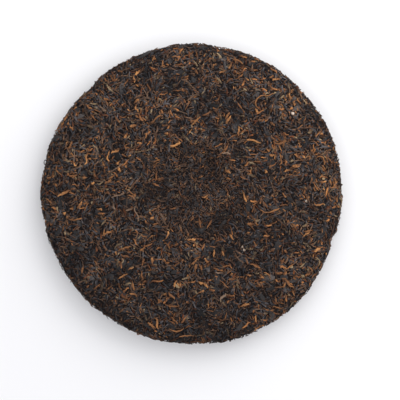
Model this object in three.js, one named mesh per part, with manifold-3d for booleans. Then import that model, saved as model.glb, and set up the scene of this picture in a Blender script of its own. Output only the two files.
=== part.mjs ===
// A round cake of pressed, fermented tea leaf, lying on its domed face with the dimpled face up.
// It is one solid: a pressed core whose surface is uneven, with the largest leaf strips fused on
// and narrow crevices between leaves cut into the flat spot that it rests on.
// Millimetres, +Z up. The origin is the middle of the underside, on the surface it lies on, and
// +Y is the side of the face that was uppermost while the cake stood on its edge.
import * as THREE from "three";
import { mergeVertices } from "three/addons/utils/BufferGeometryUtils.js";
import Module from "manifold-3d";

// The pressed form, from the dimple's floor out over the shoulder and rim to the flat underneath.
const CAKE_RADIUS = 100;
const CAKE_HEIGHT = 23;
const DIMPLE_DEPTH = 3.6;
const DIMPLE_LIP_RADIUS = 36;
const SHOULDER_RADIUS = 93;
const SHOULDER_DROP = 3.4;
const RIM_HEIGHT = 11.5;
const HEEL_RADIUS = 90;
const HEEL_HEIGHT = 3.8;
const REST_RADIUS = 44;

// Half of the section, as curves from the middle of the dimple's floor outwards, down and back in.
// Each has the two points that it bends towards and the one that it ends at, as radius and height.
const FLOOR_HEIGHT = CAKE_HEIGHT - DIMPLE_DEPTH;
const SHOULDER_HEIGHT = CAKE_HEIGHT - SHOULDER_DROP;
const SECTION_CURVES = [
  { bends: [[28.8, FLOOR_HEIGHT], [23.4, CAKE_HEIGHT]], end: [DIMPLE_LIP_RADIUS, CAKE_HEIGHT] },
  { bends: [[58, CAKE_HEIGHT], [80, 21.5]], end: [SHOULDER_RADIUS, SHOULDER_HEIGHT] },
  { bends: [[98, 18.9], [CAKE_RADIUS, 16]], end: [CAKE_RADIUS, RIM_HEIGHT] },
  { bends: [[CAKE_RADIUS, 7], [97, 5.2]], end: [HEEL_RADIUS, HEEL_HEIGHT] },
  { bends: [[78, 1.4], [62, 0]], end: [REST_RADIUS, 0] },
];
const SECTION_STEPS = 600;

// How far the cake's axis lies along X from the middle of the outline's box, and the dimple
// along Y from that axis.
const AXIS_SHIFT = 0.7;
const DIMPLE_SHIFT = 3;

// The outline is no true circle. Each wave has a number of lobes, a height and the direction of
// one of its peaks in degrees from +X.
const OUTLINE_WAVES = [
  { lobes: 2, height: 0.14, peak: 44 },
  { lobes: 3, height: 0.64, peak: 57 },
  { lobes: 4, height: 0.24, peak: 12 },
  { lobes: 5, height: 0.31, peak: 22 },
  { lobes: 6, height: 0.2, peak: 2 },
  { lobes: 11, height: 0.24, peak: 25 },
];

// The core's own crags, and how finely its surface is divided.
const CRAG_HEIGHT = 0.35;
const CORE_DETAIL = 11;

// Leaf strips: a rolled leaf or bud is a long spindle with a ridge along its back.
const STRIP_SIDES = 4;
const STRIP_STATIONS = 3;
const STRIP_COUNT = 165;
const STRIP_LENGTH = [7, 15];
const STRIP_WIDTH = [1.4, 2.6];
const STRIP_RISE = [0.5, 0.95];
const STRIP_TURN = 1.7;
const STRIP_ROOT = 1.8;
const STRAIGHT = 0.01;
const REST_MARGIN = 16;
const CREVICE_COUNT = 24;
const CREVICE_WIDTH = 1.2;
const CREVICE_DEPTH = 0.6;
const SEED = 357;

// Places where leaves have come away from the rim's upper edge: direction in degrees, depth and
// width. The edge is taken a little inside the widest ring.
const CHIP_LENGTH = 15;
const CHIP_STATIONS = 4;
const CHIP_INSET = 0.6;
const RIM_CHIPS = [
  { angle: -18, depth: 1.9, width: 9 },
  { angle: 134, depth: 1.6, width: 11 },
  { angle: 190, depth: 1.4, width: 10 },
  { angle: 169, depth: 1.4, width: 12 },
  { angle: 297, depth: 1.3, width: 10 },
  { angle: 79, depth: 1.2, width: 10 },
];

// The long buds that stand out on the face, each at its own place: x, y, heading in degrees,
// length, and the angle in degrees that it curls through.
const BUD_WIDTH = 2.2;
const BUD_RISE = 0.9;
const BUD_STATIONS = 6;
const FACE_BUDS = [
  { x: 45, y: 63, heading: 70, length: 18, curl: -125 },
  { x: 52, y: -13, heading: 0, length: 15, curl: 75 },
  { x: -11, y: 31, heading: 10, length: 9, curl: 70 },
  { x: -55, y: 25, heading: -90, length: 8, curl: 80 },
  { x: -69, y: 22, heading: 64, length: 10, curl: -20 },
  { x: -77, y: -17, heading: 0, length: 11, curl: 60 },
  { x: 3, y: 48, heading: 45, length: 10, curl: -10 },
  { x: 35, y: 0, heading: -68, length: 9, curl: -15 },
  { x: 85, y: -7, heading: -12, length: 9, curl: 25 },
  { x: 39.5, y: 35, heading: -5, length: 13, curl: -40 },
  { x: -82, y: 1, heading: 25, length: 10, curl: -10 },
  { x: -10, y: -90, heading: 0, length: 9, curl: 110 },
  { x: -3, y: -94, heading: 6, length: 10, curl: -10 },
  { x: 60, y: -57, heading: -22, length: 10, curl: 20 },
];

const RADIANS = Math.PI / 180;
const GOLDEN_ANGLE = Math.PI * (3 - Math.sqrt(5));
const SAME_PLACE = 1e-4;

// Half of the cake's section, from the middle of the dimple to the middle of the underside.
function makeSection() {
  const section = new THREE.CurvePath();
  let start = new THREE.Vector2(0, FLOOR_HEIGHT);
  for (const { bends, end } of SECTION_CURVES) {
    const [leave, arrive, stop] = [...bends, end].map((place) => new THREE.Vector2(...place));
    section.add(new THREE.CubicBezierCurve(start, leave, arrive, stop));
    start = stop;
  }
  section.add(new THREE.LineCurve(start, new THREE.Vector2(0, 0)));
  return section;
}

const section = makeSection();
const sectionPoints = section.getSpacedPoints(SECTION_STEPS);
const SECTION_LENGTH = section.getLength();

// The share of the whole surface that lies before each of the section's points.
function surfaceShares() {
  const shares = [0];
  for (let i = 1; i <= SECTION_STEPS; i += 1) {
    const [a, b] = [sectionPoints[i - 1], sectionPoints[i]];
    shares.push(shares[i - 1] + (a.x + b.x) * a.distanceTo(b));
  }
  const whole = shares[SECTION_STEPS];
  return shares.map((share) => share / whole);
}

const shares = surfaceShares();

// The distance along the section at which a share of the surface has been passed.
function alongAtShare(share) {
  let low = 0;
  let high = SECTION_STEPS;
  while (high - low > 1) {
    const middle = Math.floor((low + high) / 2);
    if (shares[middle] <= share) low = middle;
    else high = middle;
  }
  const part = (share - shares[low]) / (shares[high] - shares[low]);
  return ((low + part) / SECTION_STEPS) * SECTION_LENGTH;
}

// The distance along the section at which the upper face has a radius.
function alongAtRadius(radius) {
  const i = sectionPoints.findIndex((point) => point.x >= radius);
  const [a, b] = [sectionPoints[i - 1], sectionPoints[i]];
  return ((i - 1 + (radius - a.x) / (b.x - a.x)) / SECTION_STEPS) * SECTION_LENGTH;
}

// The section's point and its unit direction at a distance along it.
function sectionAt(along) {
  const place = THREE.MathUtils.clamp(along / SECTION_LENGTH, 0, 1) * SECTION_STEPS;
  const i = Math.min(Math.floor(place), SECTION_STEPS - 1);
  const point = sectionPoints[i].clone().lerp(sectionPoints[i + 1], place - i);
  const direction = sectionPoints[i + 1].clone().sub(sectionPoints[i]).normalize();
  return { point, direction };
}

function outlineWave(angle) {
  return OUTLINE_WAVES.reduce(
    (sum, { lobes, height, peak }) => sum + height * Math.cos(lobes * (angle - peak * RADIANS)),
    0,
  );
}

// How far along Y a ring of the upper face lies: most at the dimple, and nothing at the shoulder.
function ringShift(along) {
  return DIMPLE_SHIFT * (1 - THREE.MathUtils.smoothstep(along, 0, SHOULDER_RADIUS));
}

// A point of the surface, or of a layer at a height above it.
function onCake(along, angle, height) {
  const { point, direction } = sectionAt(along);
  const outward = (point.x / CAKE_RADIUS) ** 4 * outlineWave(angle);
  const radius = point.x + outward - direction.y * height;
  const level = point.y + direction.x * height;
  return new THREE.Vector3(
    AXIS_SHIFT + radius * Math.cos(angle),
    ringShift(along) + radius * Math.sin(angle),
    level,
  );
}

// The distance along the section and the angle of a place on the upper face. The ring's shift
// depends on the distance, so both are found in a few steps.
function facePlace(x, y) {
  let [along, shift] = [0, 0];
  for (let i = 0; i < 4; i += 1) {
    along = alongAtRadius(Math.hypot(x - AXIS_SHIFT, y - shift));
    shift = ringShift(along);
  }
  return { along, angle: Math.atan2(y - shift, x - AXIS_SHIFT) };
}

// A repeatable stream of numbers from 0 to 1.
function makeDraws(seed) {
  let state = seed;
  return () => {
    state = (state + 0x6d2b79f5) | 0;
    let mixed = Math.imul(state ^ (state >>> 15), 1 | state);
    mixed = (mixed + Math.imul(mixed ^ (mixed >>> 7), 61 | mixed)) ^ mixed;
    return ((mixed ^ (mixed >>> 14)) >>> 0) / 2 ** 32;
  };
}

const draw = makeDraws(SEED);
const drawFrom = ([low, high]) => low + (high - low) * draw();
const drawTurn = () => drawFrom([-STRIP_TURN, STRIP_TURN]);
const drawHeading = () => drawFrom([0, 2 * Math.PI]);

// A closed geometry with every vertex shared, as a solid.
function toSolid(wasm, geometry) {
  const bare = geometry.clone();
  bare.deleteAttribute("normal");
  bare.deleteAttribute("uv");
  const merged = mergeVertices(bare, SAME_PLACE);
  return new wasm.Manifold(
    new wasm.Mesh({
      numProp: 3,
      vertProperties: new Float32Array(merged.attributes.position.array),
      triVerts: new Uint32Array(merged.index.array),
    }),
  );
}

function toGeometry(solid) {
  const mesh = solid.getMesh();
  const geometry = new THREE.BufferGeometry();
  geometry.setAttribute("position", new THREE.BufferAttribute(mesh.vertProperties, 3));
  geometry.setIndex(new THREE.BufferAttribute(mesh.triVerts, 1));
  geometry.computeVertexNormals();
  return geometry;
}

// Moves each vertex of a geometry.
function reshape(geometry, move) {
  const position = geometry.attributes.position;
  const vertex = new THREE.Vector3();
  for (let i = 0; i < position.count; i += 1) {
    vertex.fromBufferAttribute(position, i);
    const moved = move(vertex);
    position.setXYZ(i, moved.x, moved.y, moved.z);
  }
  return geometry;
}

// The pressed core: a ball of even triangles, spread over the section so that they stay even.
function makeCore() {
  const ball = new THREE.IcosahedronGeometry(1, CORE_DETAIL);
  ball.deleteAttribute("normal");
  ball.deleteAttribute("uv");
  const shared = mergeVertices(ball, SAME_PLACE);
  return reshape(shared, (vertex) => {
    const along = alongAtShare(THREE.MathUtils.clamp((1 - vertex.z) / 2, 0, 1));
    const angle = Math.atan2(vertex.y, vertex.x);
    const onRest = along > SECTION_LENGTH - REST_RADIUS;
    const crag = drawFrom([-CRAG_HEIGHT, CRAG_HEIGHT]);
    return onCake(along, angle, onRest ? 0 : crag);
  });
}

// A rolled leaf: a spindle bent in its own plane, x along it and z away from the cake.
function makeStrip(length, width, rise, curl, stations) {
  const spindle = new THREE.SphereGeometry(1, STRIP_SIDES, stations);
  spindle.rotateZ(-Math.PI / 2);
  return reshape(spindle, (vertex) => {
    const distance = (vertex.x * length) / 2;
    const side = (vertex.y * width) / 2;
    const bend = (curl / length) * distance;
    const straight = Math.abs(curl) < STRAIGHT;
    const reach = straight ? distance : (Math.sin(bend) * length) / curl;
    const sway = straight ? 0 : ((1 - Math.cos(bend)) * length) / curl;
    return new THREE.Vector3(
      reach - side * Math.sin(bend),
      sway + side * Math.cos(bend),
      vertex.z * rise * (vertex.z < 0 ? STRIP_ROOT : 1),
    );
  });
}

// Lays a strip over the surface round a point of it, so that it follows the form.
function layOnCake(strip, along, angle, heading) {
  const { point, direction } = sectionAt(along);
  return reshape(strip, (vertex) => {
    const down = vertex.x * Math.cos(heading) - vertex.y * Math.sin(heading);
    const round = vertex.x * Math.sin(heading) + vertex.y * Math.cos(heading);
    const ahead = point.x + direction.x * down;
    const reached = Math.hypot(ahead, round);
    return onCake(
      along + down + direction.x * (reached - ahead),
      angle + Math.atan2(round, ahead),
      vertex.z,
    );
  });
}

// The buds that show best, where they lie on the face.
function makeFaceBuds() {
  return FACE_BUDS.map(({ x, y, heading, length, curl }) => {
    const { along, angle } = facePlace(x, y);
    const bud = makeStrip(length, BUD_WIDTH, BUD_RISE, curl * RADIANS, BUD_STATIONS);
    return layOnCake(bud, along, angle, heading * RADIANS - angle);
  });
}

// Strips all over the cake but the flat spot, one for each equal share of the surface.
function makeStrips() {
  const strips = [];
  for (let i = 0; i < STRIP_COUNT; i += 1) {
    const along = alongAtShare((i + draw()) / STRIP_COUNT);
    const angle = i * GOLDEN_ANGLE;
    const length = drawFrom(STRIP_LENGTH);
    const [width, rise, curl] = [drawFrom(STRIP_WIDTH), drawFrom(STRIP_RISE), drawTurn()];
    const strip = makeStrip(length, width, rise, curl, STRIP_STATIONS);
    const heading = drawHeading();
    if (along < SECTION_LENGTH - REST_RADIUS - REST_MARGIN) {
      strips.push(layOnCake(strip, along, angle, heading));
    }
  }
  return strips;
}

// Crevices between the leaves that the flat spot presses level.
function makeCrevices() {
  const crevices = [];
  for (let i = 0; i < CREVICE_COUNT; i += 1) {
    const radius = REST_RADIUS * Math.sqrt((i + 0.5) / CREVICE_COUNT);
    const [length, curl, heading] = [drawFrom(STRIP_LENGTH), drawTurn(), drawHeading()];
    const crevice = makeStrip(length, CREVICE_WIDTH, CREVICE_DEPTH, curl, STRIP_STATIONS);
    crevices.push(layOnCake(crevice, SECTION_LENGTH - radius, i * GOLDEN_ANGLE, heading));
  }
  return crevices;
}

// Chips in the upper edge of the rim, each a shallow hollow that runs over the edge.
function makeChips() {
  const edge = alongAtRadius(CAKE_RADIUS - CHIP_INSET);
  return RIM_CHIPS.map(({ angle, depth, width }) => {
    const chip = makeStrip(CHIP_LENGTH, width, depth, 0, CHIP_STATIONS);
    return layOnCake(chip, edge, angle * RADIANS, 0);
  });
}

// Everything under the surface that the cake lies on.
function makeGround() {
  const side = 3 * CAKE_RADIUS;
  const ground = new THREE.BoxGeometry(side, side, CAKE_HEIGHT);
  return ground.translate(0, 0, -CAKE_HEIGHT / 2);
}

async function makeCake() {
  const wasm = await Module();
  wasm.setup();
  const solid = (geometry) => toSolid(wasm, geometry);
  const raised = [...makeStrips(), ...makeFaceBuds()].map(solid);
  let cake = solid(makeCore());
  for (const strip of raised) cake = cake.add(strip);
  for (const hollow of [...makeCrevices(), ...makeChips(), makeGround()]) {
    cake = cake.subtract(solid(hollow));
  }
  const tea = new THREE.MeshStandardMaterial({ color: 0x3a2a20, roughness: 0.75, metalness: 0 });
  const mesh = new THREE.Mesh(toGeometry(cake), tea);
  mesh.name = "tea_cake";
  return mesh;
}

const cake = new THREE.Group();
cake.add(await makeCake());

export default cake;
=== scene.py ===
# A round cake of pressed, fermented tea leaf, lying on its domed face with the dimpled face up.
# Metres, +Z up. The origin is the middle of the underside, on the surface that the cake lies on.
import math

import bpy
import numpy as np
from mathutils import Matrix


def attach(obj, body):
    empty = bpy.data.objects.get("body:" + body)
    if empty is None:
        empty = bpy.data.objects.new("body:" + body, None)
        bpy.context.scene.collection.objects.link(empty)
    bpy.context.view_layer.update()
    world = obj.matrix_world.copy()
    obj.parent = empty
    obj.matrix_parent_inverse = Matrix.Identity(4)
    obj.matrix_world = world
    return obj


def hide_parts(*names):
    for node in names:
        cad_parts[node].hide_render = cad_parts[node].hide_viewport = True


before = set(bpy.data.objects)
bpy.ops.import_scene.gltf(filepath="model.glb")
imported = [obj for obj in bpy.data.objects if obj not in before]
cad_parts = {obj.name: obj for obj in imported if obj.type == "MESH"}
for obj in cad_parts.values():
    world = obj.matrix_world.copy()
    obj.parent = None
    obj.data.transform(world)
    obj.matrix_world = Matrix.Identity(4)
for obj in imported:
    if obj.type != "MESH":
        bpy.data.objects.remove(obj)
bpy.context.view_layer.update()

MM = 0.001
SEED = 357
RANDOM = np.random.default_rng(SEED)
GOLDEN_ANGLE = math.pi * (3 - math.sqrt(5))

# The pressed form, from the dimple's floor out over the shoulder and rim to the flat underneath.
CAKE_RADIUS = 0.100
CAKE_HEIGHT = 0.023
DIMPLE_DEPTH = 0.0036
DIMPLE_LIP_RADIUS = 0.036
SHOULDER_RADIUS = 0.093
SHOULDER_LEVEL = CAKE_HEIGHT - 0.0034
RIM_HEIGHT = 0.0115
HEEL_RADIUS = 0.090
HEEL_HEIGHT = 0.0038
REST_RADIUS = 0.044

# The points that its curves bend towards, as radius and height. The dimple's lie at shares of its lip's
# radius.
DIMPLE_BENDS = (0.80, 0.65)
FACE_BENDS = ((0.058, CAKE_HEIGHT), (0.080, SHOULDER_LEVEL + 0.0019))
SHOULDER_BENDS = ((0.098, SHOULDER_LEVEL - 0.0007), (CAKE_RADIUS, 0.016))
RIM_BENDS = ((CAKE_RADIUS, 0.007), (0.097, 0.0052))
HEEL_BENDS = ((0.078, 0.0014), (0.062, 0))
CURVE_STEPS = 200
SECTION_STEPS = 1501

# How far the cake's axis lies from the middle of the outline's box, and the dimple from that axis.
AXIS_SHIFT = 0.0007
DIMPLE_SHIFT = 0.003

# The outline is no true circle: lobes, height, and the direction of a peak in degrees from +X.
# The waves die out inwards with this power of the radius.
OUTLINE_WAVES = [
    (2, 0.00014, 44),
    (3, 0.00064, 57),
    (4, 0.00024, 12),
    (5, 0.00031, 22),
    (6, 0.00020, 2),
    (11, 0.00024, 25),
]
WAVE_FADE = 4

# Where a leaf has come away from the rim: direction in degrees, depth and width.
# Chips are deepest just inside the face's edge, and reach this far along the section.
RIM_CHIPS = [
    (-18, 0.0019, 0.0035),
    (134, 0.0016, 0.0045),
    (190, 0.0014, 0.0040),
    (169, 0.0014, 0.0048),
    (297, 0.0013, 0.0040),
    (79, 0.0012, 0.0040),
]
CHIP_INSET = 0.0006
CHIP_REACH = 0.006

# The core is pressed a little below the outer surface, which the strips on it make up again. Its steps
# along the section and round the cake are about as long as a strip is wide, and its crags are like broken
# leaf.
CORE_SINK = 0.0010
CORE_STEP = 0.0016
CORE_TURNS = 380
CRAG_SIZE = 0.0035
CRAG_HEIGHT = 0.0006
MERGE_DISTANCE = 0.02 * MM

# A curled leaf that stands out from the rim: its middle, the radii of its loop, half its thickness as a
# share of them, how broad it is, its turn, and its steps round the loop and round the leaf.
LOOP_PLACE = (-0.0972, 0.0212, 0.0125)
LOOP_RADII = (0.0008, 0.0014)
LOOP_TUBE = 0.25
LOOP_BREADTH = 0.0006
LOOP_TURN = math.radians(8)
LOOP_STEPS = (24, 8)

# The photograph: its side and the disc's middle and radius in it, in pixels.
PHOTO_SIDE = 400
DISC_MIDDLE = (192.34, 194.12)
DISC_RADIUS = 150.15

# The camera: the width of its sensor in millimetres, and its height over the floor in metres.
SENSOR = 36.0
CAMERA_HEIGHT = 1.0


# Form

def smooth(value):
    """A soft step from 0 to 1."""
    value = np.clip(value, 0, 1)
    return value * value * (3 - 2 * value)


def bezier(*handles):
    """Points of a cubic curve from its two ends and the two points that it bends towards."""
    start, leave, arrive, end = (np.array(handle) for handle in handles)
    t = np.linspace(0, 1, CURVE_STEPS)[:, None]
    return (1 - t) ** 3 * start + 3 * t * (1 - t) ** 2 * leave + 3 * t * t * (1 - t) * arrive + t**3 * end


def make_section():
    """Half of the cake's section, at even steps from the middle of the dimple to that of the underside."""
    floor = CAKE_HEIGHT - DIMPLE_DEPTH
    inner, outer = (DIMPLE_LIP_RADIUS * share for share in DIMPLE_BENDS)
    lip = (DIMPLE_LIP_RADIUS, CAKE_HEIGHT)
    shoulder = (SHOULDER_RADIUS, SHOULDER_LEVEL)
    rim = (CAKE_RADIUS, RIM_HEIGHT)
    heel = (HEEL_RADIUS, HEEL_HEIGHT)
    points = np.concatenate([
        bezier((0, floor), (inner, floor), (outer, CAKE_HEIGHT), lip),
        bezier(lip, *FACE_BENDS, shoulder),
        bezier(shoulder, *SHOULDER_BENDS, rim),
        bezier(rim, *RIM_BENDS, heel),
        bezier(heel, *HEEL_BENDS, (REST_RADIUS, 0)),
        [(0, 0)],
    ])
    passed = np.concatenate([[0], np.cumsum(np.hypot(*np.diff(points, axis=0).T))])
    along = np.linspace(0, passed[-1], SECTION_STEPS)
    radius = np.interp(along, passed, points[:, 0])
    level = np.interp(along, passed, points[:, 1])
    return {
        "along": along,
        "radius": radius,
        "level": level,
        "outward": np.gradient(radius, along),
        "upward": np.gradient(level, along),
    }


SECTION = make_section()
SECTION_LENGTH = SECTION["along"][-1]
RIM_ALONG = SECTION["along"][np.argmax(SECTION["radius"])]


def section_at(along, *names):
    """Values of the section at distances along it."""
    return [np.interp(along, SECTION["along"], SECTION[name]) for name in names]


def along_at_radius(radius):
    """How far along the section the upper face has a radius."""
    upper = SECTION["along"] <= RIM_ALONG
    return np.interp(radius, SECTION["radius"][upper], SECTION["along"][upper])


def outline_wave(angle):
    """How far the outline stands out from a circle."""
    return sum(height * np.cos(lobes * (angle - math.radians(peak))) for lobes, height, peak in OUTLINE_WAVES)


def chip_depth(along, angle):
    """How deep the surface lies below its form where leaves have come away from the rim."""
    edge = along_at_radius(CAKE_RADIUS - CHIP_INSET)
    depth = 0
    for direction, deepest, width in RIM_CHIPS:
        turn = np.angle(np.exp(1j * (angle - math.radians(direction)))) * CAKE_RADIUS
        depth = depth + deepest * np.exp(-((turn / width) ** 2) - ((along - edge) / CHIP_REACH) ** 2)
    return depth


def on_cake(along, angle, height):
    """Points of the surface, or of a layer at a height above it, as an array of x, y, z."""
    radius, level, outward, upward = section_at(along, "radius", "level", "outward", "upward")
    height = height - chip_depth(along, angle)
    reach = radius + outline_wave(angle) * (radius / CAKE_RADIUS) ** WAVE_FADE - upward * height
    x = AXIS_SHIFT + reach * np.cos(angle)
    y = reach * np.sin(angle) + DIMPLE_SHIFT * smooth(1 - along / SHOULDER_RADIUS)
    return np.stack([x, y, level + outward * height], axis=-1)


def area_shares():
    """The share of the whole surface that lies before each step of the section."""
    rings = np.concatenate([[0], np.cumsum(SECTION["radius"][1:] + SECTION["radius"][:-1])])
    return rings / rings[-1]


SHARES = area_shares()
SURFACE_AREA = 2 * math.pi * np.trapz(SECTION["radius"], SECTION["along"])


def share_at(along):
    """The share of the whole surface that lies before a distance along the section."""
    return float(np.interp(along, SECTION["along"], SHARES))


# Core

def start_piece():
    """Nothing selected, so that an operator acts on the new piece alone."""
    if bpy.context.object and bpy.context.object.mode != "OBJECT":
        bpy.ops.object.mode_set(mode="OBJECT")
    bpy.ops.object.select_all(action="DESELECT")


def apply_modifiers(piece):
    """Applies all the modifiers of the piece in hand."""
    for modifier in list(piece.modifiers):
        bpy.ops.object.modifier_apply(modifier=modifier.name)


def model_core():
    """The pressed core: its section is extruded step by step from one point, spun and given crags."""
    along = np.append(np.arange(0, SECTION_LENGTH, CORE_STEP), SECTION_LENGTH)
    radius, level, outward, upward = section_at(along, "radius", "level", "outward", "upward")
    profile = np.stack([radius + upward * CORE_SINK, level - outward * CORE_SINK], axis=1)
    profile[[0, -1], 0] = 0

    start_piece()
    bpy.ops.mesh.primitive_plane_add(size=MM)
    core = bpy.context.object
    core.name = "pressed_core"
    bpy.ops.object.mode_set(mode="EDIT")
    bpy.ops.mesh.select_all(action="SELECT")
    bpy.ops.mesh.merge(type="CENTER")
    bpy.ops.transform.translate(value=(profile[0, 0], 0, profile[0, 1]))
    for step in np.diff(profile, axis=0):
        bpy.ops.mesh.extrude_region_move(TRANSFORM_OT_translate={"value": (step[0], 0, step[1])})
    bpy.ops.mesh.select_all(action="SELECT")
    bpy.ops.mesh.spin(steps=CORE_TURNS, angle=2 * math.pi, center=(0, 0, 0), axis=(0, 0, 1))
    bpy.ops.mesh.select_all(action="SELECT")
    bpy.ops.mesh.remove_doubles(threshold=MERGE_DISTANCE)
    bpy.ops.mesh.normals_make_consistent(inside=False)
    bpy.ops.object.mode_set(mode="OBJECT")

    # The spun form is moved out to the uneven outline, chips and shifted dimple.
    places = np.empty(len(core.data.vertices) * 3)
    core.data.vertices.foreach_get("co", places)
    places = places.reshape(-1, 3)
    spun_radius = np.hypot(places[:, 0], places[:, 1])
    nearest = np.array([
        np.argmin((profile[:, 0] - r) ** 2 + (profile[:, 1] - z) ** 2)
        for r, z in zip(spun_radius, places[:, 2])
    ])
    moved = on_cake(along[nearest], np.arctan2(places[:, 1], places[:, 0]), -CORE_SINK)
    core.data.vertices.foreach_set("co", moved.ravel())

    crags = bpy.data.textures.new("leaf_crags", "CLOUDS")
    crags.noise_scale = CRAG_SIZE
    crags.noise_depth = 1
    displace = core.modifiers.new("crags", "DISPLACE")
    displace.texture = crags
    displace.texture_coords = "LOCAL"
    displace.strength = CRAG_HEIGHT
    apply_modifiers(core)
    core.data.shade_smooth()
    return core


def model_rim_loop():
    """A thin leaf that curls out of the rim and back as a small loop. Its tone stays 0, the darkest."""
    start_piece()
    bpy.ops.mesh.primitive_torus_add(
        major_radius=1, minor_radius=LOOP_TUBE,
        major_segments=LOOP_STEPS[0], minor_segments=LOOP_STEPS[1], generate_uvs=True,
    )
    loop = bpy.context.object
    loop.name = "rim_loop"
    loop.data.uv_layers[0].name = "leaf"
    loop.data.attributes.new("tone", "FLOAT", "POINT")
    bpy.ops.object.mode_set(mode="EDIT")
    bpy.ops.mesh.select_all(action="SELECT")
    bpy.ops.transform.resize(
        value=(*LOOP_RADII, LOOP_BREADTH / (2 * LOOP_TUBE)), center_override=(0, 0, 0)
    )
    bpy.ops.transform.rotate(value=LOOP_TURN, orient_axis="Z", center_override=(0, 0, 0))
    bpy.ops.transform.translate(value=LOOP_PLACE)
    bpy.ops.object.mode_set(mode="OBJECT")
    loop.data.shade_smooth()
    return loop


# Leaf shapes

# No strip is quite straight: it curls through at least this angle, in radians.
LEAST_CURL = 0.02

# What stands higher than the press gives way, down to this share of what stands out.
PRESS_GIVE = 0.35


def model_spindle(sides, rings):
    """A unit spindle along X, modelled once. Its vertices and faces are then copied by arrays."""
    start_piece()
    bpy.ops.mesh.primitive_uv_sphere_add(segments=sides, ring_count=rings + 1, radius=1)
    spindle = bpy.context.object
    bpy.ops.object.mode_set(mode="EDIT")
    bpy.ops.mesh.select_all(action="SELECT")
    bpy.ops.transform.rotate(value=math.pi / 2, orient_axis="Y", center_override=(0, 0, 0))
    bpy.ops.object.mode_set(mode="OBJECT")
    mesh = spindle.data
    vertices = np.array([vertex.co for vertex in mesh.vertices])
    shape = {
        "vertices": vertices,
        "faces": [list(face.vertices) for face in mesh.polygons],
        "stations": np.unique(vertices[:, 0].round(4), return_inverse=True)[1],
    }
    bpy.data.objects.remove(spindle)
    bpy.data.meshes.remove(mesh)
    return shape


def lay(shape, strips):
    """A copy of the shape for each strip, bent, twisted and laid over the cake: vertices of each copy."""
    x, y, z = shape["vertices"].T
    along, angle, heading, length, width, thick, curl, twist, roll, taper, height, tilt, press, rest = (
        strips[name][:, None]
        for name in (
            "along", "angle", "heading", "length", "width", "thick", "curl",
            "twist", "roll", "taper", "height", "tilt", "press", "rest",
        )
    )
    # Across a strip: its section is uneven in girth, twisted, and swings from side to side.
    girth = 1 + taper * x + strips["knobs"][:, shape["stations"]]
    turn = roll + twist * x
    side = (y * np.cos(turn) - z * np.sin(turn)) * girth * width / 2
    side = side + strips["sways"][:, shape["stations"]]
    side = side + strips["snake"][:, None] * length * np.sin(math.pi * x)
    rise = (y * np.sin(turn) + z * np.cos(turn)) * girth * thick / 2
    # Along a strip: it curls round an arc, and lies the way that it heads.
    curl = np.where(np.abs(curl) < LEAST_CURL, LEAST_CURL, curl)
    bend = curl * x / 2
    ahead = np.sin(bend) * length / curl - side * np.sin(bend)
    across = (1 - np.cos(bend)) * length / curl + side * np.cos(bend)
    down = ahead * np.cos(heading) - across * np.sin(heading)
    sideways = ahead * np.sin(heading) + across * np.cos(heading)
    # Upwards: the press levels what stands high.
    up = height + rise + tilt * x
    up = np.where(up > press, press + (up - press) * PRESS_GIVE, up)
    # On the cake: it keeps its form where it crosses the rings of the section near the middle.
    radius, outward = section_at(along, "radius", "outward")
    straight = radius + outward * down
    reached = np.hypot(straight, sideways)
    places = on_cake(
        along + down + outward * (reached - straight),
        angle + np.arctan2(sideways, straight),
        up,
    )
    places[..., 2] = np.maximum(places[..., 2], rest)
    return places


def join_copies(name, shape, strips):
    """One mesh of all the copies of a shape, with each strip's tone and a map in millimetres along it."""
    places = lay(shape, strips)
    count, corners = places.shape[:2]
    faces = shape["faces"]
    loops = np.concatenate(faces)
    totals = np.array([len(face) for face in faces])
    starts = np.concatenate([[0], np.cumsum(totals)[:-1]])
    copies = np.arange(count)[:, None]
    mesh = bpy.data.meshes.new(name)
    mesh.vertices.add(count * corners)
    mesh.vertices.foreach_set("co", places.ravel())
    mesh.loops.add(count * len(loops))
    mesh.loops.foreach_set("vertex_index", (loops + copies * corners).ravel())
    mesh.polygons.add(count * len(faces))
    mesh.polygons.foreach_set("loop_start", (starts + copies * len(loops)).ravel())
    mesh.update(calc_edges=True)
    mesh.shade_smooth()
    x, y = shape["vertices"][:, 0], shape["vertices"][:, 1]
    tones = strips["tone"][:, None] + strips["fade"][:, None] * x
    mesh.attributes.new("tone", "FLOAT", "POINT").data.foreach_set("value", tones.ravel())
    lengthwise = (x * strips["length"][:, None] / 2 + strips["offset"][:, None]) / MM
    crosswise = (y * strips["width"][:, None] / 2 + strips["offset"][:, None]) / MM
    leaf_map = np.stack([lengthwise, crosswise], axis=-1)[:, loops]
    mesh.uv_layers.new(name="leaf").data.foreach_set("uv", leaf_map.ravel())
    piece = bpy.data.objects.new(name, mesh)
    bpy.context.scene.collection.objects.link(piece)
    return piece


# Where strips lie

WAVES_EACH = 7
WAVE_STRETCH = (0.7, 1.4)


def make_waves(size):
    """Waves in several directions, about a size long, whose sum makes uneven patches."""
    directions = RANDOM.normal(size=(WAVES_EACH, 3))
    directions *= 2 * math.pi / (size * np.linalg.norm(directions, axis=1, keepdims=True))
    directions *= RANDOM.uniform(*WAVE_STRETCH, (WAVES_EACH, 1))
    return directions, RANDOM.uniform(0, 2 * math.pi, WAVES_EACH)


def patchiness(places, waves):
    """A smooth uneven value from 0 to 1 at places on the cake."""
    directions, phases = waves
    total = np.cos(places @ directions.T + phases).sum(axis=-1)
    return 0.5 + 0.5 * np.tanh(total / math.sqrt(len(phases)))


# Where the leaf is darker or lighter, and where copper and tan strips crowd or flat leaves lie bare. The
# last value is how much the tone changes with these waves.
SHADE_WAVES = make_waves(0.028)
LEAF_WAVES = make_waves(0.014)
WAVE_SHADE = 0.3

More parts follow.
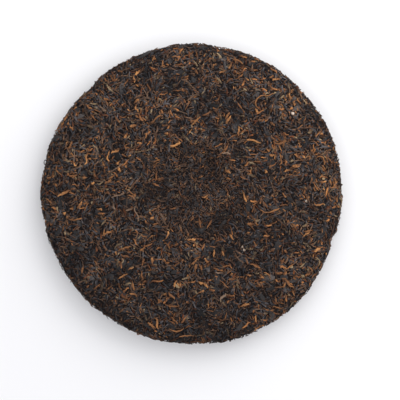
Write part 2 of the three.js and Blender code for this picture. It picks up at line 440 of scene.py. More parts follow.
# Neighbouring strips tend to lie the same way, as the leaf was raked and pressed. They stray from it by
# radians.
FLOW_WAVES = make_waves(0.016), make_waves(0.016)
FLOW_STRAY = 0.75

# Broad patches that are lighter or darker, partly painted light and shade (lighter to the right, darker to
# the bottom and lower left) and partly the leaf's own uneven tone: x, y and radius in millimetres, and how
# much the tone changes.
TONE_AND_PAINTED_LIGHT_PATCHES = [
    (18, -92, 14, -0.38),
    (-10, -93, 12, -0.26),
    (95, 4, 16, 0.28),
    (-54, -75, 16, -0.26),
    (-82, -48, 16, -0.20),
    (20, -39, 12, -0.28),
    (60, 70, 14, 0.24),
    (62, -22, 11, -0.13),
    (-30, 45, 12, 0.17),
    (-3, -5, 11, 0.15),
    (-10, 12, 8, -0.18),
    (-58, 60, 14, 0.15),
    (53, -48, 12, -0.15),
    (-84, 44, 13, 0.16),
    (82, 44, 14, 0.13),
    (82, -44, 13, 0.16),
    (62, -74, 11, 0.12),
    (41, -2, 10, -0.12),
    (0, -2, 36, -0.05),
    (44, 81, 9, -0.13),
    (14, 32, 9, -0.09),
    (65, 39, 10, 0.09),
    (-13, 72, 10, 0.08),
    (30, -65, 9, -0.10),
    (-65, -26, 9, -0.10),
    (-30, -50, 9, -0.08),
    (-30, -14, 8, -0.06),
]

# How strongly copper and tan strips crowd in the lighter patches, so that their mix paints light there too.
PATCH_PULL = 1.6

# Most strips are near the small end of their kind's limits: the powers that crowd their lengths and
# widths there.
LENGTH_CROWD = 1.8
WIDTH_CROWD = 1.4

# How much a strip is twisted from its middle to an end and rolled as a whole, in radians, and how much
# thicker one end is, as a share.
TWIST = 0.7
ROLL = 0.5
TAPER = 0.6

# In metres: how much higher one end lies than the middle, the heights over the form that the press levels
# strips at, and how low over the floor they may reach.
TILT = 0.00025
PRESS = (-0.00005, 0.00025)
LOWEST = (0, 0.0002)

# The dimple begins within this distance of its lip. There strips are smaller by a share, are drawn by a
# share towards one level, are pressed lower, and are more alike in tone.
DIMPLE_EDGE = 0.008
DIMPLE_SMALLER = 0.25
DIMPLE_DRAW = 0.6
DIMPLE_LEVEL = -0.0005
DIMPLE_PRESS = 0.00025
DIMPLE_ALIKE = 0.37

# Round the rim, in a band this broad, a few strips stand up, they tilt more by a share, the press levels them
# higher, and they are darker by painted shade, where the rim turns away from the light.
RIM_BAND = 0.010
RIM_LIFT = (-0.0004, 0.0005)
LIFT_CROWD = 2
RIM_TILT = 0.3
RIM_PRESS = 0.0016
RIM_PAINTED_SHADE = 0.12

# A strip's usual tone, from 0 for the darkest of its material to 1, how far it varies, and how far in
# metres its map may be shifted, so that no two strips have the same streaks.
TONE = 0.47
TONE_SPREAD = 0.7
MAP_SHIFT = 0.4

# The most rings of vertices along a spindle, its two ends with them.
MOST_STATIONS = 13

# How far a strip strays from its even place, as a share of the space for one, how near it comes to the
# middle, and the least radius for the turn that its stray makes.
STRAY = 0.45
MIDDLE_GAP = 0.0003
LEAST_RADIUS = 0.001

# The face is seen out to this radius. Within these shares of the dimple's lip some kinds are sparse, and
# dust lies.
FACE_RADIUS = 0.0965
SPARSE_REACH = 0.9
DUST_REACH = 0.92

# Zones of the surface, as shares of its whole area, counted from the middle of the dimple.
FACE_END = share_at(along_at_radius(FACE_RADIUS))
RIM_END = share_at(SECTION_LENGTH - HEEL_RADIUS)
ZONES = {
    "dimple": (0, share_at(DIMPLE_LIP_RADIUS * DUST_REACH)),
    "face": (0, FACE_END),
    "rim": (FACE_END, RIM_END),
    "underside": (RIM_END, 1),
    "all": (0, 1),
}

# Leaf lies closer on the face that a buyer sees than on the underside.
CROWDING = {"dimple": 1, "face": 1.18, "rim": 1, "underside": 0.88, "all": 1}

# What holds for each kind of leaf that doesn't say otherwise: how much the patches change its tone, how
# strongly it crowds in the lighter ones (or below 0 in the darker ones), what share of it lies in the
# dimple, how knobby it is, how far it sways sideways as a share of its width, how it snakes as a share of
# its length, and how much one end is lighter.
COMMON = {"shading": 1, "likes": 0, "dimple": 1, "knobs": 0.2, "sways": 0.13, "snake": 0.04, "fade": 0.22}

# Kinds of leaf: how many to a square metre, their sizes in metres, how they curl, and how high they lie.
SLATE = {
    **COMMON, "density": 190000, "length": (0.0017, 0.0078), "width": (0.0005, 0.0015),
    "thick": (0.0004, 0.0009), "curl": 0.5, "height": (-0.0011, -0.0002), "shading": 0.65,
}
BROWN = {
    **COMMON, "density": 158000, "length": (0.0015, 0.0071), "width": (0.0005, 0.0013),
    "thick": (0.0004, 0.0009), "curl": 0.55, "height": (-0.0010, -0.0001), "shading": 0.8,
}
RUSSET = {
    **COMMON, "density": 26000, "length": (0.0018, 0.0075), "width": (0.0005, 0.0015),
    "thick": (0.0004, 0.0009), "curl": 0.55, "height": (-0.0009, -0.0001), "likes": 0.3,
}
COPPER = {
    **COMMON, "density": 58000, "length": (0.0018, 0.0080), "width": (0.0006, 0.0015),
    "thick": (0.0005, 0.0010), "curl": 0.6, "height": (-0.0009, -0.0001), "likes": 0.75,
}
TAN = {
    **COMMON, "density": 24000, "length": (0.0020, 0.0075), "width": (0.0007, 0.0018),
    "thick": (0.0005, 0.0010), "curl": 0.8, "height": (-0.0009, -0.0001), "likes": 0.75, "dimple": 0.7,
}
GOLDEN = {
    **COMMON, "density": 8500, "length": (0.0020, 0.0065), "width": (0.0007, 0.0016),
    "thick": (0.0006, 0.0010), "curl": 1.0, "height": (-0.0007, 0.0), "likes": 0.6, "dimple": 0.3,
}
BUD = {
    **COMMON, "length": (0.005, 0.010), "width": (0.0012, 0.0016), "thick": (0.0010, 0.0013),
    "curl": 0.0, "height": (-0.0001, 0.0002), "snake": 0.05, "fade": 0.3,
}
FLAKE = {
    **COMMON, "density": 17000, "length": (0.0045, 0.0110), "width": (0.0022, 0.0048),
    "thick": (0.0003, 0.0005), "curl": 0.3, "height": (-0.0008, -0.0003), "knobs": 0.12, "sways": 0.05,
    "likes": -0.9,
}
STALK = {
    **COMMON, "density": 2200, "length": (0.0070, 0.0180), "width": (0.0005, 0.0009),
    "thick": (0.0005, 0.0008), "curl": 0.35, "height": (-0.0005, 0.0), "dimple": 0.3, "knobs": 0.1,
    "snake": 0.02,
}
DUST = {
    **COMMON, "density": 420000, "length": (0.0010, 0.0034), "width": (0.0004, 0.0010),
    "thick": (0.0003, 0.0006), "curl": 0.6, "height": (-0.0006, 0.0),
}
CRUMB = {
    **COMMON, "density": 40000, "length": (0.0006, 0.0018), "width": (0.0005, 0.0011),
    "thick": (0.0004, 0.0008), "curl": 0.1, "height": (-0.0005, 0.0), "dimple": 0.6,
}


def tone_and_painted_light(places):
    """How much the broad patches, partly painted light and shade, lighten or darken the leaf at places on the
    cake.
    """
    shade = 0
    for x, y, radius, change in TONE_AND_PAINTED_LIGHT_PATCHES:
        away = np.hypot(places[:, 0] / MM - x, places[:, 1] / MM - y) / radius
        shade = shade + change * np.exp(-away * away)
    return shade


def flow_heading(places):
    """The way that most strips lie at places on the cake, in radians from +X."""
    first, second = (patchiness(places, waves) - 0.5 for waves in FLOW_WAVES)
    return np.arctan2(first, second) / 2


def between(limits, count, crowd=1):
    """Even draws between two limits, or with a higher crowd more of them near the lower one."""
    low, high = limits
    return low + (high - low) * RANDOM.uniform(0, 1, count) ** crowd


def make_strips(kind, along, angle, heading):
    """Sizes and bends of a kind's strips at places on the cake."""
    count = len(along)
    in_dimple = smooth((DIMPLE_LIP_RADIUS - along) / DIMPLE_EDGE)
    on_rim = np.exp(-(((along - RIM_ALONG) / RIM_BAND) ** 2))
    places = on_cake(along, angle, 0)
    waves = patchiness(places, SHADE_WAVES) + patchiness(places, LEAF_WAVES) - 1
    # The tone takes the leaf's own uneven waves and the broad patches, which are partly painted light and
    # shade.
    shade = (WAVE_SHADE * waves + tone_and_painted_light(places)) * kind["shading"]
    small = 1 - DIMPLE_SMALLER * in_dimple
    length = between(kind["length"], count, LENGTH_CROWD) * small
    width = between(kind["width"], count, WIDTH_CROWD) * small
    height = between(kind["height"], count)
    height = height + in_dimple * (DIMPLE_LEVEL - height) * DIMPLE_DRAW
    height = height + on_rim * between(RIM_LIFT, count, LIFT_CROWD)
    return {
        "along": along,
        "angle": angle,
        "heading": heading,
        "length": length,
        "width": width,
        "thick": between(kind["thick"], count),
        "curl": RANDOM.normal(0, kind["curl"], count),
        "snake": RANDOM.normal(0, kind["snake"], count),
        "twist": RANDOM.normal(0, TWIST, count),
        "roll": RANDOM.normal(0, ROLL, count),
        "taper": RANDOM.uniform(-TAPER, TAPER, count),
        "knobs": RANDOM.normal(0, kind["knobs"], (count, MOST_STATIONS)),
        "sways": RANDOM.normal(0, kind["sways"], (count, MOST_STATIONS)) * width[:, None],
        "height": height,
        "tilt": RANDOM.normal(0, TILT, count) * (1 + RIM_TILT * on_rim),
        "press": between(PRESS, count) - in_dimple * DIMPLE_PRESS + on_rim * RIM_PRESS,
        "rest": between(LOWEST, count),
        # Painted shade darkens the strips round the rim.
        "tone": TONE + (RANDOM.beta(2, 2, count) - 0.5) * (TONE_SPREAD - DIMPLE_ALIKE * in_dimple)
        + shade - RIM_PAINTED_SHADE * on_rim,
        "fade": RANDOM.normal(0, kind["fade"], count),
        "offset": RANDOM.uniform(0, MAP_SHIFT, count),
    }


def scatter(kind, zone):
    """A kind's strips, spread evenly by a spiral over a zone of the surface."""
    low, high = ZONES[zone]
    count = round(kind["density"] * CROWDING[zone] * (high - low) * SURFACE_AREA)
    share = low + (high - low) * (np.arange(count) + RANDOM.uniform(0, 1, count)) / count
    along = np.interp(share, SHARES, SECTION["along"])
    angle = np.arange(count) * GOLDEN_ANGLE + RANDOM.uniform(0, 2 * math.pi)
    stray = RANDOM.normal(0, STRAY / math.sqrt(kind["density"]), (2, count))
    along = np.clip(along + stray[0], MIDDLE_GAP, SECTION_LENGTH - MIDDLE_GAP)
    angle = angle + stray[1] / np.maximum(section_at(along, "radius")[0], LEAST_RADIUS)
    outside = along > DIMPLE_LIP_RADIUS * SPARSE_REACH
    kept = outside | (RANDOM.uniform(0, 1, count) < kind["dimple"])
    places = on_cake(along, angle, 0)
    # Kinds that like light crowd in the leaf's own lighter patches and in the broad patches of painted light,
    # and flat leaves crowd in the darker ones.
    patch = np.clip(patchiness(places, LEAF_WAVES) + PATCH_PULL * tone_and_painted_light(places), 0, 1)
    likes = kind["likes"]
    kept &= RANDOM.uniform(0, 1, count) < 1 - abs(likes) + abs(likes) * (patch if likes > 0 else 1 - patch)
    along, angle = along[kept], angle[kept]
    heading = flow_heading(on_cake(along, angle, 0)) - angle + RANDOM.normal(0, FLOW_STRAY, len(along))
    return make_strips(kind, along, angle, heading + math.pi * RANDOM.integers(0, 2, len(along)))


def face_place(x, y):
    """The distance along the section and the angle of a place on the upper face, found in a few rounds."""
    shift = 0
    for _ in range(4):
        along = along_at_radius(np.hypot(x - AXIS_SHIFT, y - shift))
        shift = DIMPLE_SHIFT * smooth(1 - along / SHOULDER_RADIUS)
    return along, np.arctan2(y - shift, x - AXIS_SHIFT)


def place_strips(kind, rows):
    """Strips of a kind that lie at places of their own on the face."""
    x, y, heading, length, width, curl, tone = np.array(rows, float).T
    along, angle = face_place(x * MM, y * MM)
    strips = make_strips(kind, along, angle, np.radians(heading) - angle)
    strips["length"] = length * MM
    strips["width"] = width * MM
    strips["curl"] = np.radians(curl)
    strips["tone"] = tone
    return strips


# The buds that stand out on the face, in millimetres and degrees:
# x, y, heading, length, width, the angle that it curls through, tone.
FACE_BUDS = [
    (46, 64.4, 48, 19.5, 1.1, -145, 0.55),
    (41.3, 35.2, -10, 10.5, 1.3, -30, 0.75),
    (51.9, -11.9, 6, 14.4, 1.1, 75, 0.55),
    (-10.6, 32, 10, 9, 1.7, 70, 0.85),
    (-55, 25, -90, 8, 1.3, 80, 0.75),
    (-50, 28, 20, 6, 1.4, 10, 0.7),
    (-69, 23, 64, 9, 1.5, -15, 0.8),
    (-77, 20, -54, 4.5, 1.1, 40, 0.7),
    (-83, 1, 23, 11, 1.6, -15, 0.6),
    (-88, 15, -65, 9, 1.1, 110, 0.4),
    (-77, -17, 0, 11, 1.1, 60, 0.4),
    (-93, -4.5, -32, 6, 1.1, 15, 0.45),
    (-73, -7, 54, 6, 1.5, 10, 0.6),
    (-35, 81, 50, 6, 2.1, 0, 0.65),
    (-25, 90, 64, 4, 1.3, 0, 0.5),
    (-24, 49, 30, 11, 1.2, 10, 0.35),
    (-36, 56, -65, 4.5, 1.3, 15, 0.75),
    (-38, 45, 5, 5, 1.8, -10, 0.5),
    (3, 48, 46, 9, 1.2, -10, 0.6),
    (24.5, 49, 60, 7, 1.6, -10, 0.65),
    (31.2, 41.3, -86, 7.5, 1.1, 15, 0.7),
    (43, 55, -60, 3.2, 1.5, 0, 0.75),
    (65, 64, 83, 6, 1.3, 5, 0.6),
    (68, 60, 95, 4, 1.2, 0, 0.5),
    (71, 61, -70, 5, 1.2, 25, 0.55),
    (59, 33.5, 0, 10.5, 1.5, 45, 0.4),
    (87, 23.9, -38, 11, 1.1, -190, 0.5),
    (69.1, 18.2, -4, 5.5, 1.9, 10, 0.55),
    (31, 88, -20, 8, 1.2, -60, 0.45),
    (26, 85, 75, 6, 1.2, 20, 0.4),
    (24, 15, -39, 4.6, 1.8, 0, 0.55),
    (9, -2, 10, 4.5, 1.1, 100, 0.7),
    (35, -1, -67, 9, 1.2, -15, 0.6),
    (85.2, -7.3, -17, 8.7, 1.3, 38, 0.6),
    (0, -30, 2, 6.3, 1.6, 0, 0.8),
    (-42, -35, 5, 5, 1.1, 0, 0.5),
    (-56, -26, 19, 7, 1.4, 0, 0.6),
    (-45, -54, 28, 7, 1.2, -25, 0.6),
    (-40, -49, 32, 4.6, 1.1, -20, 0.6),
    (-72, -50, 78, 5.4, 1.4, 0, 0.4),
    (-10.8, -59, 65, 5, 1.5, -60, 0.65),
    (-7.5, -60.5, -35, 5, 1.3, 20, 0.45),
    (-13, -67, -50, 6.5, 1.2, 0, 0.5),
    (-11, -74, 3, 7.3, 1.1, 0, 0.35),
    (-37.9, -66, -30, 6, 1.4, -110, 0.5),
    (-22.3, -85.2, -75, 8, 1.5, -55, 0.65),
    (-26, -87, -38, 6.5, 1.5, 20, 0.5),
    (-9.5, -91, 5, 11.5, 1.1, 100, 0.5),
    (-3, -94, 6, 10.5, 1.0, -10, 0.5),
    (-31, -28, -43, 5, 1.2, 10, 0.4),
    (15, -39, 88, 5, 1.2, 0, 0.65),
    (21, -39, -74, 3.8, 1.2, 0, 0.6),
    (41.9, -47, -17, 7.9, 1.3, -25, 0.45),
    (63.5, -58.2, -32, 10.8, 1.6, -8, 0.4),
    (35, -73, 15, 6.6, 1.5, 0, 0.55),
    (84, -37.1, 22, 4.9, 1.9, 0, 0.98),
    (77.6, -24.6, 9, 4.3, 1.4, 0, 0.45),
    (23.8, 51.5, 60, 6, 1.3, -10, 0.45),
    (59.2, 22, 67, 6.7, 1.1, 12, 0.45),
    (63.7, 15.8, 30, 5, 1.8, 0, 0.45),
    (73.6, 24.8, -44, 3.6, 1.2, 0, 0.6),
    (49.1, 15.1, -39, 2.9, 1.7, 0, 0.55),
    (56.3, 75.6, 15, 6, 1.4, 0, 0.6),
    (34, 90.5, -15, 6, 1.1, 0, 0.45),
    (29, 88.5, -75, 5, 1.1, 0, 0.4),
    (-15.6, -27.7, 65, 6.5, 1.3, 60, 0.55),
    (-31.9, -36, 35, 5, 1.2, 0, 0.5),
    (-15.3, -33.6, -45, 6.5, 1.2, -80, 0.35),
    (-25.7, -44.9, -88, 6, 1.4, 0, 0.4),
    (2.1, -44.7, 32, 6, 1.1, 0, 0.5),
    (10, -43.7, -40, 4, 1.4, 0, 0.6),
    (2.8, -49.1, 80, 6, 1.3, 0, 0.4),
    (-38.5, -60.4, -80, 6, 1.5, 0, 0.5),
    (-32.5, -53.9, 85, 7, 1.4, 0, 0.35),
    (-20.9, -71.1, 30, 4, 1.5, 0, 0.4),
    (9.7, -60.1, -50, 4.5, 1.5, 0, 0.7),
    (6.4, -64.6, 30, 5, 1.2, 0, 0.5),
    (26.9, -55.9, 10, 5, 1.2, 0, 0.35),
    (-11.1, -83.6, -55, 7, 1.1, 0, 0.35),
    (-79.5, 31.8, 73, 6.5, 1.1, 0, 0.45),
    (-34, 33.5, -5, 3.5, 1.4, 0, 0.7),
    (-78, 12.1, 0, 5, 1.3, 0, 0.4),
    (-70.2, 10.9, 0, 2.8, 1.6, 0, 0.55),
    (-47.6, 21.1, 45, 4, 1.4, 0, 0.5),
    (-47.3, 16, -80, 4, 1.4, 0, 0.8),
    (-23.5, 21.5, 25, 6, 0.8, 0, 0.35),
    (-23, 20, 28, 6, 0.8, 0, 0.3),
    (-22.5, 18.6, 30, 6, 0.8, 0, 0.25),
    (-52.1, 11.4, 30, 4.5, 1.3, 0, 0.4),
    (-54.8, 8.3, 45, 5, 1.4, 0, 0.45),
    (-64.6, 7.1, 0, 2.6, 1.4, 0, 0.85),
    (-78, 0.5, -15, 5, 1.2, 0, 0.4),
    (-69.3, -5, -65, 4.5, 1.2, 0, 0.4),
    (-60.4, -9.9, -15, 4, 1.4, 0, 0.5),
    (-25.9, -15.8, 0, 2.6, 1.4, 0, 0.8),
    (-42.9, 38.6, 60, 4, 1.8, 0, 0.6),
    (-16.4, 39.8, 0, 2.6, 1.5, 0, 0.6),
    (86.4, 7.9, 9, 6.5, 1.5, 40, 0.45),
    (92.4, 7.4, -80, 4.8, 1.1, 0, 0.5),
    (94.5, 7.3, -76, 5.2, 1.1, 0, 0.4),
    (61.2, -0.6, -50, 4.4, 1.1, 0, 0.5),
    (60.9, -10.4, -32, 3.5, 0.9, 0, 0.45),
    (86.2, -35.5, 5, 3.6, 1.0, 0, 0.5),
    (78, -16.2, -57, 2.9, 1.0, 90, 0.4),
    (92.6, -12.8, -41, 2.5, 1.3, 0, 0.5),
    (96.7, -2.9, -87, 4.8, 1.0, 0, 0.4),
    (37.9, -53.4, -4, 4, 1.2, 0, 0.45),
    (58, -61.3, 6, 6.7, 1.1, 20, 0.25),
    (78.9, -49.5, -40, 5.3, 1.1, 0, 0.4),
    (67.8, -55.8, -34, 3.7, 1.0, 200, 0.4),
    (55.6, -70.1, -87, 5.2, 1.2, 0, 0.4),
    (67.2, -64.9, -68, 4.6, 1.1, -15, 0.45),
    (53.2, -76.4, 2, 2.6, 1.3, 0, 0.4),
    (56.9, -74.7, -5, 7.9, 0.9, 20, 0.35),
    (58.9, -34.3, 18, 2.5, 1.1, 0, 0.4),
]

# Redder strips on the face, in the same order of values.
FACE_RUSSETS = [
    (12, -20, 58, 7, 1.1, 10, 0.5),
    (5.8, -19.1, -72, 7, 1.2, 0, 0.4),
    (-12, -9.6, 5, 5, 1.2, 0, 0.4),
    (-31.9, -45.5, 70, 6, 1.2, 0, 0.45),
    (6.1, -47.9, -65, 5, 1.2, 0, 0.5),
    (-22.7, -57.4, 8, 9, 1.2, 0, 0.5),
    (-16.8, -70.5, 50, 4.5, 1.2, 0, 0.5),
    (25.4, -69.9, 50, 5, 1.2, 0, 0.5),
    (-34.6, 23.1, -30, 4, 1.2, 0, 0.65),
    (-22.9, 12.1, 80, 7, 1.1, 0, 0.4),
    (-19.7, 10.1, 0, 5, 1.8, 0, 0.3),
    (-23.3, 6.2, -30, 5.5, 1.3, 0, 0.55),
    (-59, -12.8, 0, 5, 1.2, 0, 0.55),
    (-33.7, 50.8, -50, 7, 1.2, 0, 0.6),
    (-48.5, 48.7, -60, 6.5, 1.2, 0, 0.45),
    (54.2, 81.8, -55, 7, 1.2, 0, 0.6),
    (34.5, 73.2, 65, 5, 1.6, 0, 0.6),
    (31.6, 77.1, 30, 6, 1.2, 0, 0.5),
    (34.3, 81.5, 25, 5.5, 1.2, 0, 0.55),
    (41.2, -4.9, -7, 4.7, 1.3, 45, 0.8),
    (62.3, 20.6, -88, 4.4, 1.1, 0, 0.65),
    (71.1, 23.9, -49, 7.3, 1.0, 15, 0.55),
    (87.6, 11.6, 1, 6.6, 1.3, -75, 0.55),
    (90.8, -17.4, 38, 2.5, 1.5, 0, 0.9),
    (51.2, -20.9, 2, 4.5, 1.2, 50, 0.8),
    (39, -19.7, 3, 4.2, 1.9, 0, 0.5),
    (69.1, -21.5, 28, 4.4, 1.5, 0, 0.5),
    (49.8, -27.7, 12, 4.4, 1.4, 0, 0.6),
    (94.7, -8.6, 30, 3.2, 1.2, 0, 0.7),
    (39.5, -15, -62, 9.6, 0.9, 0, 0.2),
    (86.9, -32.6, -63, 2.7, 1.2, 0, 0.7),
    (61.2, -48.2, -9, 5.3, 1.4, -65, 0.75),
    (56.8, -57.6, -5, 4.5, 1.0, 200, 0.6),
    (76.8, -53.2, 25, 3.8, 1.3, 0, 0.55),
    (62.5, -68.4, -86, 4.8, 1.2, 0, 0.55),
    (36.2, -85.9, 39, 6.8, 1.3, 0, 0.85),
    (62.6, -38, -46, 2.8, 1.3, 0, 0.5),
]

# Long thin strips and stalks that show on the face, in the same order of values.
FACE_STALKS = [
    (-69, 52, -82, 25, 1.2, 10, 0.1),
    (-58.7, 56.5, -35, 6, 1.6, 0, 0.7),
    (-2, 73.5, -35, 10.5, 1.2, -50, 0.55),
    (-31, 63.5, 0, 8.5, 1.2, -40, 0.4),
    (0.5, 64, 20, 10.5, 1.2, -40, 0.55),
    (-36, -13, -85, 11, 0.8, 5, 0.9),
    (-40, -10, 24, 6.5, 1.4, 30, 0.6),
    (23, 27, -5, 6, 1.5, -60, 0.95),
    (41, 4.3, -66, 9, 1.1, 0, 0.1),
    (97, 2.1, 19, 5.2, 0.9, 0, 0.3),
    (20, -52, -5, 8, 0.9, 10, 0.55),
    (18.3, -47.9, -3, 8, 1.0, 0, 0.4),
    (33, 35.2, 20, 9, 1.2, -90, 0.45),
    (-18.3, -16.8, -56, 10, 2.0, 10, 0.45),
    (20.9, -67.5, 52, 6, 1.5, 0, 0.95),
    (-48.2, -0.9, 18, 9.5, 1.2, 0, 0.75),
    (-51.2, -7.5, -65, 6, 1.4, 0, 0.7),
]

# Pale downy bud tips that catch the light, in the same order of values.
FACE_TIPS = [
    (67.1, 53.2, 30, 2.2, 1.8, 0, 0.8),
    (76.2, -5, -30, 2, 1.4, 0, 0.3),
    (35, -36.9, 0, 1.8, 1.4, 0, 0.4),
    (33.5, -34.8, 40, 1.8, 1.3, 0, 0.3),
]


# Materials

# Dry leaf has a waxy skin, a little below glass in how it bends light.
LEAF_IOR = 1.45

# Veins and folds of rolled leaf are about 0.2 mm apart and 0.9 mm long. They are drawn on each strip's
# map, which is in millimetres, change its tone, and stand out a little.
STREAK_STRETCH = (0.7, 3.0, 1.0)
STREAK_SCALE = 1.6
STREAK_SHADE = 0.7
STREAK_RELIEF = 0.6
STREAK_DEPTH = 0.15 * MM

# Fermented leaf has blotches about as wide as a strip, which change its tone too.
MOTTLE_SIZE = 0.9 * MM
MOTTLE_SHADE = 0.7

# Broken leaf in the core: the size of its grains, that of the patches where they are lighter, and how far
# they stand out.
GRAIN_SIZE = 1.6 * MM
GRAIN_PATCH_SIZE = 6 * MM
GRAIN_RELIEF = 0.8
GRAIN_DEPTH = 0.3 * MM


def linear(code):
    """A colour from its sRGB hex value, as linear light."""
    channels = [int(code[i:i + 2], 16) / 255 for i in (1, 3, 5)]
    return [c / 12.92 if c <= 0.04045 else ((c + 0.055) / 1.055) ** 2.4 for c in channels] + [1.0]


def add_node(tree, kind, values=None, links=None, stops=None, **settings):
    """A new node with its settings, input values, the outputs linked to its inputs, and its ramp's stops."""
    node = tree.nodes.new(kind)
    for name, value in settings.items():
        setattr(node, name, value)
    for socket, value in (values or {}).items():
        node.inputs[socket].default_value = value
    for socket, output in (links or {}).items():
        tree.links.new(output, node.inputs[socket])
    for i, (place, code) in enumerate(stops or []):
        ramp = node.color_ramp.elements
        stop = ramp[i] if i < 2 else ramp.new(place)
        stop.position = place
        stop.color = linear(code)
    return node


def new_material(name):
    """A material with an empty node tree."""
    material = bpy.data.materials.new(name)
    material.use_nodes = True
    tree = material.node_tree
    tree.nodes.clear()
    return material, tree


def leaf_material(name, dark, middle, light, roughness, gloss):
    """Rolled tea leaf: each strip has a tone, fine streaks run along it, and mottling crosses it."""
    material, tree = new_material(name)
    tone = add_node(tree, "ShaderNodeAttribute", attribute_name="tone")
    leaf_map = add_node(tree, "ShaderNodeUVMap", uv_map="leaf")
    place = add_node(tree, "ShaderNodeTexCoord")
    stretched = add_node(
        tree, "ShaderNodeMapping", {"Scale": STREAK_STRETCH}, {"Vector": leaf_map.outputs["UV"]}
    )
    streaks = add_node(
        tree, "ShaderNodeTexNoise", {"Scale": STREAK_SCALE, "Detail": 2.0},
        {"Vector": stretched.outputs["Vector"]},
    )
    mottles = add_node(
        tree, "ShaderNodeTexNoise", {"Scale": 1 / MOTTLE_SIZE, "Detail": 1.0},
        {"Vector": place.outputs["Object"]},
    )
    streaked = add_node(
        tree, "ShaderNodeMath", {1: STREAK_SHADE}, {0: streaks.outputs["Fac"]}, operation="MULTIPLY"
    )
    uneven = add_node(
        tree, "ShaderNodeMath", {1: MOTTLE_SHADE}, {0: mottles.outputs["Fac"]}, operation="MULTIPLY"
    )
    total = add_node(
        tree, "ShaderNodeMath", None, {0: streaked.outputs[0], 1: uneven.outputs[0]}, operation="ADD"
    )
    centred = add_node(
        tree, "ShaderNodeMath", {1: (STREAK_SHADE + MOTTLE_SHADE) / 2}, {0: total.outputs[0]},
        operation="SUBTRACT",
    )
    shade = add_node(
        tree, "ShaderNodeMath", None, {0: centred.outputs[0], 1: tone.outputs["Fac"]}, operation="ADD"
    )
    colour = add_node(
        tree, "ShaderNodeValToRGB", None, {"Fac": shade.outputs[0]},
        [(0.0, dark), (1.0, light), (0.5, middle)],
    )
    relief = add_node(
        tree, "ShaderNodeBump", {"Strength": STREAK_RELIEF, "Distance": STREAK_DEPTH},
        {"Height": streaks.outputs["Fac"]},
    )
    shader = add_node(
        tree, "ShaderNodeBsdfPrincipled",
        {"Roughness": roughness, "IOR": LEAF_IOR, "Specular IOR Level": gloss},
        {"Base Color": colour.outputs["Color"], "Normal": relief.outputs["Normal"]},
    )
    add_node(tree, "ShaderNodeOutputMaterial", None, {"Surface": shader.outputs["BSDF"]})
    return material


def core_material():
    """Pressed leaf dust and broken leaf: dark, and near black as painted shade in the gaps between strips,
    with fine grains.
    """
    material, tree = new_material("pressed tea leaf, core")
    place = add_node(tree, "ShaderNodeTexCoord")
    grains = add_node(
        tree, "ShaderNodeTexVoronoi", {"Scale": 1 / GRAIN_SIZE}, {"Vector": place.outputs["Object"]}
    )
    patches = add_node(
        tree, "ShaderNodeTexNoise", {"Scale": 1 / GRAIN_PATCH_SIZE, "Detail": 3.0},
        {"Vector": place.outputs["Object"]},
    )
    blend = add_node(
        tree, "ShaderNodeMath", None, {0: grains.outputs["Color"], 1: patches.outputs["Fac"]},
        operation="MULTIPLY",
    )
    # The darkest stops paint the shade in the gaps between strips.
    colour = add_node(
        tree, "ShaderNodeValToRGB", None, {"Fac": blend.outputs[0]},
        [(0.0, "#120f10"), (1.0, "#46382f"), (0.4, "#272120")],
    )
    relief = add_node(
        tree, "ShaderNodeBump", {"Strength": GRAIN_RELIEF, "Distance": GRAIN_DEPTH},
        {"Height": grains.outputs["Distance"]},
    )
    shader = add_node(
        tree, "ShaderNodeBsdfPrincipled", {"Roughness": 0.8, "IOR": LEAF_IOR, "Specular IOR Level": 0.1},
        {"Base Color": colour.outputs["Color"], "Normal": relief.outputs["Normal"]},
    )
    add_node(tree, "ShaderNodeOutputMaterial", None, {"Surface": shader.outputs["BSDF"]})
    return material


def dress(piece, material):
    """Gives a piece its material, and ties it to the cake's one body."""
    piece.data.materials.clear()
    piece.data.materials.append(material)
    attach(piece, "root")
    return piece


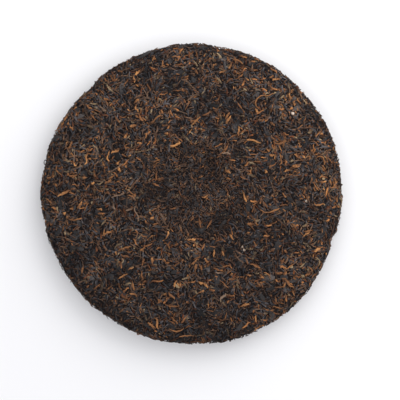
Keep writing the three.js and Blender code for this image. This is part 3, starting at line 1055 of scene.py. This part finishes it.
def make_leaves():
    """All the leaf on the core, each kind of it one piece."""
    rolled = model_spindle(4, 3)
    curled = model_spindle(4, 5)
    bud = model_spindle(6, 9)
    flat = model_spindle(8, 5)
    grain = model_spindle(4, 1)

    # Older leaf, fermented through: charcoal, with a cool grey painted into its colour as the sheen of the
    # light on it, and the glossiest of all.
    slate = leaf_material("fermented tea leaf, slate", "#1d1d20", "#3b3a3c", "#676262", 0.55, 0.08)
    # Most of the rolled leaf: dark brown, matt, and lighter where its veins show.
    brown = leaf_material("fermented tea leaf, brown", "#2a211d", "#534035", "#876852", 0.6, 0.07)
    # Young leaf that has kept its warmth: coppery orange that stands out from the dark.
    copper = leaf_material("fermented tea leaf, copper", "#3a281f", "#734e35", "#b67b4b", 0.6, 0.07)
    # Leaf between those two, as a darker red brown.
    russet = leaf_material("fermented tea leaf, russet", "#33211b", "#59382a", "#8e5836", 0.6, 0.07)
    # Bud tips: bright ochre gold, with soft down that takes the shine off.
    golden = leaf_material("fermented tea bud, golden", "#423026", "#80583a", "#bd8654", 0.65, 0.07)
    # Paler undersides of leaf: straw and khaki flecks.
    tan = leaf_material("fermented tea leaf, tan", "#383028", "#665644", "#a99170", 0.65, 0.07)
    # Leaf that was pressed flat: even charcoal patches.
    flake = leaf_material("pressed flat tea leaf, charcoal", "#191818", "#353333", "#5a5451", 0.6, 0.08)
    # Woody stalk: long thin lines of a dull grey brown.
    stalk = leaf_material("tea stalk, dry", "#362b24", "#574539", "#866f5d", 0.65, 0.07)
    # White down on a bud's tip: a few small pale points.
    down = leaf_material("downy bud tip, pale", "#5d5147", "#988778", "#e6d3c2", 0.75, 0.05)
    # Broken edges show the leaf's inside: fine warm specks.
    crumb = leaf_material("broken tea leaf, tan", "#33241b", "#614531", "#a57954", 0.7, 0.07)

    layers = [
        ("slate_strips_face", rolled, SLATE, "face", slate),
        ("slate_strips_rim", rolled, SLATE, "rim", slate),
        ("slate_strips_underside", rolled, SLATE, "underside", slate),
        ("brown_strips_face", rolled, BROWN, "face", brown),
        ("brown_strips_rim", rolled, BROWN, "rim", brown),
        ("brown_strips_underside", rolled, BROWN, "underside", brown),
        ("copper_strips", curled, COPPER, "all", copper),
        ("russet_strips", rolled, RUSSET, "all", russet),
        ("tan_strips", curled, TAN, "all", tan),
        ("golden_buds", bud, GOLDEN, "all", golden),
        ("flat_leaves", flat, FLAKE, "all", flake),
        ("stalks", rolled, STALK, "all", stalk),
        ("crumbs", grain, CRUMB, "all", crumb),
        ("dimple_dust", rolled, DUST, "dimple", brown),
    ]
    for name, shape, kind, zone, material in layers:
        dress(join_copies(name, shape, scatter(kind, zone)), material)

    placed = [
        ("face_buds", model_spindle(6, 11), FACE_BUDS, golden),
        ("face_stalks", bud, FACE_STALKS, stalk),
        ("face_russets", bud, FACE_RUSSETS, copper),
        ("face_tips", bud, FACE_TIPS, down),
    ]
    for name, shape, rows, material in placed:
        dress(join_copies(name, shape, place_strips(BUD, rows)), material)
    dress(model_rim_loop(), brown)


# Stage

FLOOR_SIZE = 6

# A bright sky all round, and one soft lamp to the upper right of the camera's view.
SKY_STRENGTH = 0.96
KEY_PLACE = (0.28, 0.34, 0.30)
KEY_SIZE = 0.60
KEY_POWER = 2.0


def make_floor():
    """Matt white paper under the cake: an even bright ground without sheen, with room all round."""
    start_piece()
    bpy.ops.mesh.primitive_plane_add(size=FLOOR_SIZE)
    floor = bpy.context.object
    floor.name = "floor"
    material, tree = new_material("matt white paper")
    shader = add_node(
        tree, "ShaderNodeBsdfPrincipled", {"Base Color": linear("#f3f3f3"), "Roughness": 0.9, "IOR": 1.4}
    )
    add_node(tree, "ShaderNodeOutputMaterial", None, {"Surface": shader.outputs["BSDF"]})
    floor.data.materials.append(material)


def light_studio():
    """An even bright sky, and a soft square key light that faces the middle of the cake."""
    world = bpy.data.worlds.new("studio")
    bpy.context.scene.world = world
    world.use_nodes = True
    sky = world.node_tree.nodes["Background"]
    sky.inputs["Color"].default_value = linear("#fbfbff")
    sky.inputs["Strength"].default_value = SKY_STRENGTH
    lamp = bpy.data.lights.new("key", "AREA")
    lamp.size = KEY_SIZE
    lamp.energy = KEY_POWER
    key = bpy.data.objects.new("key", lamp)
    key.location = KEY_PLACE
    key.rotation_euler = (-key.location).to_track_quat("-Z", "Y").to_euler()
    bpy.context.scene.collection.objects.link(key)
    bpy.context.scene.view_settings.view_transform = "Standard"


def place_camera():
    """Straight above, with the cake where it lies in the photograph."""
    metres_for_pixel = CAKE_RADIUS / DISC_RADIUS
    middle = PHOTO_SIDE / 2
    lens = bpy.data.cameras.new("camera")
    lens.sensor_width = SENSOR
    lens.lens = SENSOR * (DISC_RADIUS / PHOTO_SIDE) * (CAMERA_HEIGHT - RIM_HEIGHT) / CAKE_RADIUS
    camera = bpy.data.objects.new("camera", lens)
    camera.location = (
        AXIS_SHIFT + (middle - DISC_MIDDLE[0]) * metres_for_pixel,
        (DISC_MIDDLE[1] - middle) * metres_for_pixel,
        CAMERA_HEIGHT,
    )
    bpy.context.scene.collection.objects.link(camera)
    bpy.context.scene.camera = camera


core = dress(model_core(), core_material())
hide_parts("tea_cake")
make_leaves()
make_floor()
light_studio()
place_camera()
